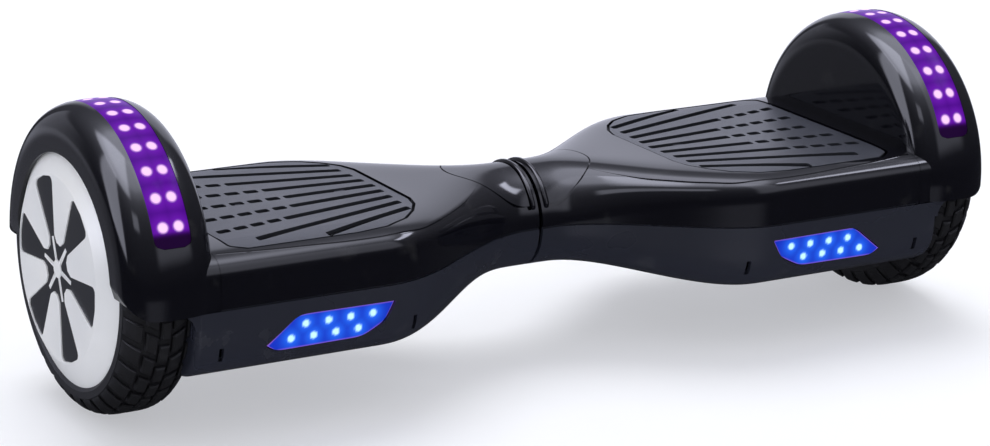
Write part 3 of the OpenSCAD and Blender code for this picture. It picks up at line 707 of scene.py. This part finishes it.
def footpad():
    """A rubber footpad with its fanned grooves, trimmed to the deck's fall, and the plungers under it."""
    shape = Mesh().prism(rounded(scaled(PAD_OUTLINE, -1.3), 3.6), PAD_LOW.z + 6, PAD_HIGH.z).object("pad")
    cut(shape, pad_grooves().object("grooves"))
    soften(shape, 0.6)
    bake(shape)
    xs = np.linspace(80, 236, 60)
    ys = np.linspace(-84, 84, 85)
    x, y = np.meshgrid(xs, ys, indexing="ij")
    fall = np.array([skin_z(row[0], ys) for row in x]) - 0.3
    above = Mesh().slab(np.stack([x, y, fall + 12], axis=2), np.stack([x, y, fall], axis=2))
    cut(shape, above.object("above"))
    plungers = Mesh()
    for place_x in (118, 182):
        plungers.disc((place_x, 0), 4, PAD_LOW.z, PAD_LOW.z + 7)
    return join([shape, plungers.object("plungers")], "pad")


def tyre_radius(x):
    """Radius of the tread's outside at x."""
    across = 2 * (x - TYRE_LOW.x) / (TYRE_HIGH.x - TYRE_LOW.x) - 1
    return TYRE_R - TREAD_DROP * across**4


def tyre():
    """A solid tyre with a block tread in five rows."""
    width = TYRE_HIGH.x - TYRE_LOW.x
    xs = np.linspace(TYRE_LOW.x, TYRE_HIGH.x, 25)
    profile = [(RIM_R, TYRE_LOW.x + 1.5), (RIM_R + 2, TYRE_LOW.x), (74, TYRE_LOW.x)]
    profile += [(float(tyre_radius(x)) - TREAD_DEPTH, x) for x in xs[1:-1]]
    profile += [(74, TYRE_HIGH.x), (RIM_R + 2, TYRE_HIGH.x), (RIM_R, TYRE_HIGH.x - 1.5)]
    turns = np.linspace(0, 2 * math.pi, 160, endpoint=False)
    carcass = Mesh().ring(profile, turns)
    blocks = Mesh()
    lanes = [(0.01, 0.2, 0.0), (0.24, 0.4, 0.5), (0.43, 0.57, 0.0), (0.6, 0.76, 0.5), (0.8, 0.99, 0.0)]
    for start, end, phase in lanes:
        middle = (start + end) / 2
        skew = 0.35 * np.sign(middle - 0.5) * (abs(middle - 0.5) > 0.1)
        for i in range(BLOCKS_AROUND):
            centre = 2 * math.pi * (i + phase) / BLOCKS_AROUND
            half = 0.72 * math.pi / BLOCKS_AROUND
            add_block(blocks, TYRE_LOW.x + width * np.array([start, end]), centre, half, skew)
    return join([carcass.object("carcass"), blocks.object("blocks")], "tyre")


def add_block(mesh, xs, centre, half, skew):
    """One tread block: a slab on the tread with drawn-in top edges."""
    sheets = []
    for inset, lift in ((0.9, 0.0), (0, -0.9), (0, -TREAD_DEPTH - 0.6)):
        us = np.linspace(xs[0] + inset, xs[1] - inset, 4)
        squeeze = 1 - inset / (half * TYRE_R)
        rows = []
        for u in us:
            lean = skew * half * (u - xs.mean()) / (xs[1] - xs[0]) * 2
            turns = centre + lean + half * squeeze * np.linspace(-1, 1, 4)
            r = float(tyre_radius(u)) + lift
            rows.append(np.column_stack([np.full(4, u), -r * np.cos(turns), AXLE_Z + r * np.sin(turns)]))
        sheets.append(np.array(rows))
    top, edge, foot = sheets
    mesh.grid(top)
    loops = []
    for sheet in (top, edge, foot):
        loops.append(np.concatenate([sheet[0, :-1], sheet[:-1, -1], sheet[-1, :0:-1], sheet[:0:-1, 0]]))
    mesh.grid(np.array(loops), wrap=True)


def petal(shrink):
    """One petal of the hub face, pointing up, as an outline about the hub's centre."""
    tip = HUB_FLAT_R - 0.8 - shrink
    half = math.radians(PETAL_HALF_TURN)
    first, crown, last = [(tip * math.sin(a), tip * math.cos(a)) for a in np.linspace(half, -half, 3)]
    rim = [(first[0] - shrink, first[1]), crown, (last[0] + shrink, last[1])]
    waist = [(-4 + shrink, 19), (-7.5 + shrink, 8), (7.5 - shrink, 8), (4 - shrink, 19)]
    return rounded(rim + waist, PETAL_CORNER, 5)


def turned(outline, angle):
    """An outline turned about the hub's centre, and placed on the wheel axis."""
    spin = Matrix.Rotation(angle, 2)
    return [(p.x, p.y + AXLE_Z) for p in (spin @ Vector(q) for q in outline)]


def rosette_shapes(shrink):
    """The outlines of the black petals."""
    lean = math.radians(PETAL_LEAN)
    angles = [2 * math.pi * k / PETALS - lean for k in range(PETALS)]
    return [turned(petal(shrink), a) for a in angles]


def hub_face():
    """The silver hub face: a flat star between the petals, and a cone out to the rim."""
    out = FACE_HIGH.x
    profile = [
        (0.01, out), (20, out), (HUB_FLAT_R - 0.6, out), (HUB_FLAT_R + 0.6, out - 0.3),
        (RIM_R - 0.8, out - 7.4), (RIM_R, out - 8), (RIM_R, out - 10), (RIM_R - 4, out - 10),
        (HUB_FLAT_R - 2, out - 3.4), (0.01, out - 3.4),
    ]
    turns = np.linspace(0, 2 * math.pi, 144, endpoint=False)
    face = Mesh().ring(profile, turns).object("face")
    floor = out - INLAY_DEPTH
    for outline in rosette_shapes(0):
        cut(face, Mesh().prism(outline, floor, out + 2, axis="x").object("petal"))
    centre = Mesh().disc((0, AXLE_Z), CENTRE_R, floor, out + 2, axis="x").object("centre")
    cut(face, centre)
    return face


def hub_star():
    """The raised silver star over the rosette's centre."""
    out = FACE_HIGH.x
    star = Mesh().disc((0, AXLE_Z), 5.2, out - INLAY_DEPTH, out - 0.25, axis="x")
    for k in range(PETALS):
        ray = [(-1.6, 0), (1.6, 0), (1.15, 18.5), (-1.15, 18.5)]
        angle = 2 * math.pi * k / PETALS - math.radians(PETAL_LEAN)
        star.prism(turned(ray, angle), out - INLAY_DEPTH, out - 0.5, axis="x")
    return star.object("star")


def hub_inlay():
    """The black petals and their centre."""
    floor = FACE_HIGH.x - INLAY_DEPTH
    top = FACE_HIGH.x - 0.7
    inlay = Mesh()
    for outline in rosette_shapes(0.15):
        inlay.prism(outline, floor, top, axis="x")
    inlay.disc((0, AXLE_Z), CENTRE_R - 0.2, floor, top - 0.01, axis="x")
    return inlay.object("inlay")


# ------------------------------------------------------------- light pieces


def mark(obj, name, values):
    """Stores a number per point for the material to read."""
    layer = obj.data.attributes.new(name, "FLOAT", "POINT")
    layer.data.foreach_set("value", np.asarray(values, np.float32))


def glow_of(points, lamps, dot, halo):
    """How much of each point is lit as a lamp's dot, and by the halo around the lamps."""
    away = np.linalg.norm(points[:, None, :] - lamps[None, :, :], axis=2).min(axis=1)
    return 1 - ease((away - dot * 0.72) / (dot * 0.56)), np.exp(-((away / halo) ** 2))


def object_points(obj):
    points = np.zeros(len(obj.data.vertices) * 3, np.float32)
    obj.data.vertices.foreach_get("co", points)
    return points.reshape(-1, 3) / MM


def fender_lens(side, name):
    """The light strip's lens, with a glow around each pair of lamps."""
    obj = Mesh().slab(strip_sheet(-0.3, 0.2, 30, 300), strip_sheet(-2, 0.2, 30, 300)).object(name, side)
    radius = FENDER_R + CROWN_RISE
    step = (180 - 2 * FIRST_PAIR) / (STRIP_PAIRS - 1)
    turns = np.radians(FIRST_PAIR + step * np.arange(STRIP_PAIRS))
    lamps = np.array([
        (side * (STRIP_MID + s * PAIR_HALF), -radius * math.cos(a), AXLE_Z + radius * math.sin(a))
        for a in turns for s in (-1, 1)
    ])
    points = object_points(obj)
    dot, halo = glow_of(points, lamps, dot=2.9, halo=8)
    along = np.degrees(np.arctan2(points[:, 2] - AXLE_Z, points[:, 1]))
    from_end = np.minimum(along, 180 - along) - (FIRST_PAIR - LIT_BEFORE)
    lit = ease(from_end / 3)
    mark(obj, "dot", dot)
    mark(obj, "halo", halo * lit)
    mark(obj, "lit", lit)
    return obj


def lamp_lens(side, name):
    """The front lamp's lens, lit by two staggered rows of four LEDs, with a painted edge highlight round its
    border.
    """
    obj = Mesh().slab(lamp_sheet(0, LAMP_FRONT), lamp_sheet(0, LAMP_FRONT + 1.6)).object(name, side)
    lamps = np.array([
        (side * (LED_X + LED_STEP * i + ROW_SHIFT * row), LAMP_FRONT, LED_Z - ROW_DROP * row)
        for i in range(4) for row in (0, 1)
    ])
    points = object_points(obj)
    dot, halo = glow_of(points, lamps, dot=2.1, halo=5.5)
    xs = np.abs(points[:, 0])
    low = np.interp(xs, *np.array(LAMP_LOW).T)
    high = np.interp(xs, *np.array(LAMP_HIGH).T)
    edge = np.minimum(points[:, 2] - low, high - points[:, 2])
    mark(obj, "dot", dot)
    mark(obj, "halo", halo)
    # The narrow band along the lens edge takes the lilac rim colour: a painted edge highlight.
    mark(obj, "lit", ease(edge / 0.9))
    return obj


# ---------------------------------------------------------------- materials


class Nodes:
    """Adds nodes to a tree and wires them."""

    def __init__(self, tree):
        self.tree = tree

    def node(self, kind, **values):
        made = self.tree.nodes.new(kind)
        for key, value in values.items():
            setattr(made, key, value)
        return made

    def set(self, socket, value):
        """Links a node's output into a socket, or writes a plain number on it."""
        if isinstance(value, bpy.types.NodeSocket):
            self.tree.links.new(value, socket)
        else:
            socket.default_value = value

    def math(self, operation, a, b):
        made = self.node("ShaderNodeMath", operation=operation)
        self.set(made.inputs[0], a)
        self.set(made.inputs[1], b)
        return made.outputs["Value"]


class Paint(Nodes):
    """Builds one node material step by step."""

    def __init__(self, name):
        self.material = bpy.data.materials.new(name)
        self.material.use_nodes = True
        super().__init__(self.material.node_tree)
        self.shader = self.tree.nodes["Principled BSDF"]
        self.place = self.node("ShaderNodeTexCoord").outputs["Object"]

    def noise(self, scale, detail=3.0):
        made = self.node("ShaderNodeTexNoise")
        self.set(made.inputs["Vector"], self.place)
        made.inputs["Scale"].default_value = scale
        made.inputs["Detail"].default_value = detail
        return made.outputs["Fac"]

    def remap(self, value, low, high, to_low, to_high):
        made = self.node("ShaderNodeMapRange")
        self.set(made.inputs["Value"], value)
        for socket, number in zip(made.inputs[1:5], (low, high, to_low, to_high)):
            socket.default_value = number
        return made.outputs["Result"]

    def mix(self, share, a, b):
        made = self.node("ShaderNodeMix", data_type="RGBA")
        self.set(made.inputs["Factor"], share)
        self.set(made.inputs["A"], a)
        self.set(made.inputs["B"], b)
        return made.outputs["Result"]

    def attribute(self, name):
        return self.node("ShaderNodeAttribute", attribute_name=name).outputs["Fac"]

    def body(self, colour, rough, metal=0.0, vary=0.12, wear=0.2, grain=900.0, bump=0.05):
        """Colour that varies, scuffs that lighten and roughen, and a fine bump."""
        inputs = self.shader.inputs
        dark = (*[c * (1 - vary) for c in colour], 1)
        light = (*[min(1, c * (1 + vary)) for c in colour], 1)
        worn = (*[c + (0.6 - c) * 0.12 for c in colour], 1)
        cloud = self.noise(14.0)
        scuff = self.remap(self.noise(55.0, 8.0), 0.62, 0.78, 0.0, wear)
        self.set(inputs["Base Color"], self.mix(scuff, self.mix(cloud, dark, light), worn))
        smear = self.remap(cloud, 0.3, 0.7, rough * 0.85, rough * 1.15)
        rougher = self.remap(scuff, 0.0, 1.0, 0.0, 0.25)
        self.set(inputs["Roughness"], self.math("ADD", smear, rougher))
        inputs["Metallic"].default_value = metal
        relief = self.node("ShaderNodeBump")
        self.set(relief.inputs["Height"], self.noise(grain, 4.0))
        relief.inputs["Strength"].default_value = bump
        relief.inputs["Distance"].default_value = 0.0004
        self.set(inputs["Normal"], relief.outputs["Normal"])
        return self

    def glow(self, rim, dark, deep, bright, strength):
        """Light that goes from rim through dark and deep to bright, by the numbers stored on the lens.

        strength is that of the field, of the dots, and the share of it that the unlit rim keeps; where that
        share is high, as on the front lamp, the glowing rim is a painted edge highlight.
        """
        inputs = self.shader.inputs
        inputs["Specular IOR Level"].default_value = 0.02
        field = self.mix(self.attribute("halo"), dark, deep)
        field = self.mix(self.attribute("lit"), rim, field)
        self.set(inputs["Emission Color"], self.mix(self.attribute("dot"), field, bright))
        power = self.remap(self.attribute("dot"), 0.0, 1.0, strength[0], strength[1])
        lit = self.remap(self.attribute("lit"), 0.0, 1.0, strength[2], 1.0)
        self.set(inputs["Emission Strength"], self.math("MULTIPLY", power, lit))
        return self


# Colour, roughness, metal, grain of the bump and its strength, for each slot of the record
FINISHES = {
    "shell_gloss": ((0.0035, 0.0035, 0.006), 0.09, 0.0, 260.0, 0.02),
    "belly_plastic": ((0.02, 0.022, 0.034), 0.28, 0.0, 1400.0, 0.05),
    "panel_gloss": ((0.005, 0.005, 0.008), 0.12, 0.0, 260.0, 0.02),
    "footpad_rubber": ((0.028, 0.03, 0.038), 0.42, 0.0, 2200.0, 0.18),
    "tyre_rubber": ((0.009, 0.009, 0.012), 0.6, 0.0, 1500.0, 0.35),
    "hub_silver": ((0.9, 0.92, 0.97), 0.35, 0.08, 700.0, 0.03),
    "hub_black": ((0.011, 0.012, 0.016), 0.38, 0.0, 1200.0, 0.06),
    "led_strip": ((0.8, 0.7, 0.85), 0.5, 0.0, 800.0, 0.05),
    "circuit_board": ((0.02, 0.16, 0.06), 0.45, 0.0, 900.0, 0.1),
    "cast_alloy": ((0.5, 0.51, 0.53), 0.45, 1.0, 1200.0, 0.15),
    "bright_steel": ((0.5, 0.5, 0.52), 0.22, 1.0, 900.0, 0.05),
    "dark_steel": ((0.06, 0.06, 0.065), 0.35, 1.0, 900.0, 0.05),
    "motor_steel": ((0.25, 0.25, 0.27), 0.4, 1.0, 1400.0, 0.1),
    "magnet": ((0.35, 0.35, 0.37), 0.25, 1.0, 900.0, 0.03),
    "copper_wire": ((0.7, 0.3, 0.12), 0.3, 1.0, 1600.0, 0.2),
    "motor_shell": ((0.35, 0.36, 0.38), 0.4, 1.0, 1200.0, 0.12),
    "bush_plastic": ((0.7, 0.66, 0.55), 0.5, 0.0, 900.0, 0.05),
    "battery_wrap": ((0.02, 0.12, 0.5), 0.2, 0.0, 300.0, 0.08),
    "cable_sheath": ((0.01, 0.01, 0.011), 0.55, 0.0, 1500.0, 0.1),
    "fitting_black": ((0.015, 0.015, 0.017), 0.4, 0.0, 1400.0, 0.08),
    "cap_rubber": ((0.02, 0.02, 0.022), 0.65, 0.0, 1500.0, 0.15),
    "button_silver": ((0.6, 0.6, 0.63), 0.3, 0.4, 900.0, 0.03),
}


def paints():
    """One material for each slot of the record."""
    made = {}
    for name, (colour, rough, metal, grain, bump) in FINISHES.items():
        made[name] = Paint(name).body(colour, rough, metal, grain=grain, bump=bump).material
    violet = Paint("strip_lens").body((0.012, 0.002, 0.03), 0.2, bump=0.02)
    made["strip_lens"] = violet.glow(
        rim=(0.02, 0.0, 0.03, 1), dark=(0.04, 0.0, 0.17, 1), deep=(0.16, 0.01, 0.46, 1),
        bright=(1.0, 0.62, 1.0, 1), strength=(1.0, 1.15, 0.2),
    ).material
    blue = Paint("lamp_lens").body((0.01, 0.03, 0.3), 0.12, bump=0.02)
    # The lilac rim keeps most of the lamp's glow: a painted edge highlight along the lens border, not lamp
    # light.
    made["lamp_lens"] = blue.glow(
        rim=(0.3, 0.12, 0.6, 1), dark=(0.004, 0.015, 0.36, 1), deep=(0.015, 0.15, 0.85, 1),
        bright=(0.55, 0.92, 1.0, 1), strength=(0.9, 1.2, 0.8),
    ).material
    return made


# ----------------------------------------------------------- putting it up


def place(obj, node):
    """Rides a piece with the body of the CAD node it stands for, in that node's finish."""
    obj.data.materials.clear()
    obj.data.materials.append(PAINTS[SLOT_OF[node]])
    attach(obj, BODY_OF[node])
    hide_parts(node)


SLOT_OF = {part["node"]: part["material_slot"] for part in frame["record"]["subparts"]}
BODY_OF = {node: body for body, nodes in frame["record"]["behaviour"]["bodies"].items() for node in nodes}
PAINTS = paints()

for node, slot_name in SLOT_OF.items():
    obj = frame["nodes"][node]
    obj.data.materials.clear()
    obj.data.materials.append(PAINTS[slot_name])

FLAT_FACED = ("pad", "hub_face", "hub_inlay")
pieces = {
    "top_shell": top_shell(),
    "pad": footpad(),
    "tyre": tyre(),
    "hub_face": join([hub_face(), hub_star()], "hub_face"),
    "hub_inlay": hub_inlay(),
    "neck_panel": Mesh().slab(panel_sheet(-0.4, 0.05), panel_sheet(-0.4, -1.6)).object("neck_panel"),
}
for name, piece in pieces.items():
    piece.name = f"right_{name}_look"
    twin = mirrored(piece, f"left_{name}_look")
    place(twin, f"left_{name}")
    place(piece, f"right_{name}")
    if name in FLAT_FACED:
        for obj in (piece, twin):
            even(obj)

belly = bottom_shell(rear=False)
place(mirrored(belly, "left_belly_look"), "left_bottom_shell")
bpy.data.objects.remove(belly)
belly = bottom_shell(rear=True)
belly.name = "right_belly_look"
place(belly, "right_bottom_shell")

for side, sign in SIDES.items():
    place(fender_lens(sign, f"{side}_fender_lens_look"), f"{side}_fender_lens")
    place(lamp_lens(sign, f"{side}_lamp_lens_look"), f"{side}_lamp_lens")

for node in ("charge_socket", "charge_cap", "power_switch", "power_button"):
    soften(frame["nodes"][node], 0.35)

# ---------------------------------------------------------- camera and studio


def camera():
    """The photo's viewpoint: off the front left of the board, a little above it."""
    data = bpy.data.cameras.new("camera")
    data.lens = 115.7
    data.sensor_width = 36
    obj = bpy.data.objects.new("camera", data)
    bpy.context.scene.collection.objects.link(obj)
    obj.location = (-0.9536, -1.5682, 0.6207)
    aim = Euler((math.radians(90 - 16.63), 0, math.radians(-30.95)), "XYZ").to_matrix()
    roll = Matrix.Rotation(0.025, 3, "Z")
    obj.rotation_euler = (aim @ roll).to_euler()
    bpy.context.scene.camera = obj


class Sky(Nodes):
    """Builds the light that the gloss reflects, from the direction a ray leaves in."""

    def __init__(self, tree):
        super().__init__(tree)
        split = self.node("ShaderNodeSeparateXYZ")
        self.set(split.inputs["Vector"], self.node("ShaderNodeTexCoord").outputs["Generated"])
        self.rise = split.outputs["Z"]
        back = self.math("MULTIPLY", split.outputs["Y"], -1.0)
        self.turn = self.math("ARCTAN2", split.outputs["X"], back)

    def step(self, value, low, high):
        """Goes smoothly from 0 at low to 1 at high, or from 1 down to 0 when low is the larger."""
        made = self.node("ShaderNodeMapRange", interpolation_type="SMOOTHSTEP")
        self.set(made.inputs["Value"], value)
        made.inputs["From Min"].default_value = min(low, high)
        made.inputs["From Max"].default_value = max(low, high)
        made.inputs["To Min"].default_value = 0.0 if low < high else 1.0
        made.inputs["To Max"].default_value = 1.0 if low < high else 0.0
        return made.outputs["Result"]

    def curve(self, value, points):
        """A smooth curve through (value, result) points."""
        low = points[0][0]
        reach = points[-1][0] - low
        top = max(result for _, result in points)
        made = self.node("ShaderNodeFloatCurve")
        share = self.math("DIVIDE", self.math("SUBTRACT", value, low), reach)
        self.set(made.inputs["Value"], share)
        line = made.mapping.curves[0].points
        while len(line) < len(points):
            line.new(0.5, 0.5)
        for point, (at, result) in zip(line, points):
            point.location = ((at - low) / reach, result / top)
            point.handle_type = "AUTO_CLAMPED"
        made.mapping.update()
        return self.math("MULTIPLY", made.outputs["Value"], top)

    def patch(self, strength, turns, rises, soft_turn, soft_rise):
        """A soft-edged panel between two turns (degrees from the front) and two heights."""
        a, b = (math.radians(t) for t in turns)
        edge = math.radians(soft_turn)
        level = self.math("MULTIPLY", self.step(self.turn, a - edge, a), self.step(self.turn, b + edge, b))
        level = self.math("MULTIPLY", level, self.step(self.rise, rises[0] - soft_rise, rises[0]))
        level = self.math("MULTIPLY", level, self.step(self.rise, rises[1] + soft_rise, rises[1]))
        return self.math("MULTIPLY", level, strength)


# How bright the room is by the height of a direction, from straight down to straight up
SKY_LEVELS = [
    (-1.0, 0.04), (-0.1, 0.04), (0.05, 0.08), (0.3, 0.16), (0.55, 0.3),
    (0.75, 0.7), (0.86, 1.9), (0.93, 4.0), (1.0, 4.5),
]

# The soft light panels: strength, turns in degrees from the front, heights, and their soft edges
PANELS = [
    (3.4, (-113, -86), (0.06, 0.8), 6, 0.06),
    (4.0, (-150, -50), (0.84, 1.1), 15, 0.06),
    (8.0, (60, 98), (0.7, 0.765), 5, 0.03),
    (0.85, (127, 160), (-0.1, 0.48), 9, 0.12),
    (0.35, (-181, -160), (-0.12, 0.3), 30, 0.12),
    (0.17, (-170, -128), (-0.5, -0.1), 10, 0.08),
    (0.9, (10, 40), (0.3, 0.9), 10, 0.2),
    (2.0, (-41, -31), (0.57, 0.66), 6, 0.06),
    (0.28, (-15, 0), (-0.6, -0.24), 22, 0.05),
]


def studio():
    """A pale floor, soft light from above and behind, and a dim room for the gloss to reflect."""
    floor = Mesh()
    floor.add([(-6000, -6000, 0), (6000, -6000, 0), (6000, 6000, 0), (-6000, 6000, 0)], [(0, 1, 2, 3)])
    floor = floor.object("floor")
    pale = Paint("floor").body((0.42, 0.425, 0.44), 0.7, vary=0.01, wear=0.0, grain=300.0, bump=0.02)
    pale.shader.inputs["Emission Color"].default_value = (0.97, 0.98, 1.03, 1)
    pale.shader.inputs["Emission Strength"].default_value = 0.46
    floor.data.materials.append(pale.material)
    floor.visible_glossy = False

    sun = bpy.data.lights.new("sun", "SUN")
    sun.energy = 2.4
    sun.angle = math.radians(38)
    lamp = bpy.data.objects.new("sun", sun)
    bpy.context.scene.collection.objects.link(lamp)
    lamp.rotation_euler = Vector((0.25, 0.55, 1.0)).to_track_quat("Z", "Y").to_euler()
    lamp.visible_glossy = False

    world = bpy.data.worlds.new("studio")
    bpy.context.scene.world = world
    world.use_nodes = True
    tree = world.node_tree
    tree.nodes.clear()
    sky = Sky(tree)
    level = sky.curve(sky.rise, SKY_LEVELS)
    for panel in PANELS:
        level = sky.math("ADD", level, sky.patch(*panel))
    mirror = sky.node("ShaderNodeBackground")
    mirror.inputs["Color"].default_value = (0.92, 0.94, 1.12, 1)
    sky.set(mirror.inputs["Strength"], level)
    seen = sky.node("ShaderNodeBackground")
    seen.inputs["Color"].default_value = (1, 1, 1, 1)
    seen.inputs["Strength"].default_value = 0.62
    both = sky.node("ShaderNodeMixShader")
    sky.set(both.inputs["Fac"], sky.node("ShaderNodeLightPath").outputs["Is Glossy Ray"])
    sky.set(both.inputs[1], seen.outputs["Background"])
    sky.set(both.inputs[2], mirror.outputs["Background"])
    sky.set(sky.node("ShaderNodeOutputWorld").inputs["Surface"], both.outputs["Shader"])
    bpy.context.scene.view_settings.view_transform = "Standard"


camera()
studio()
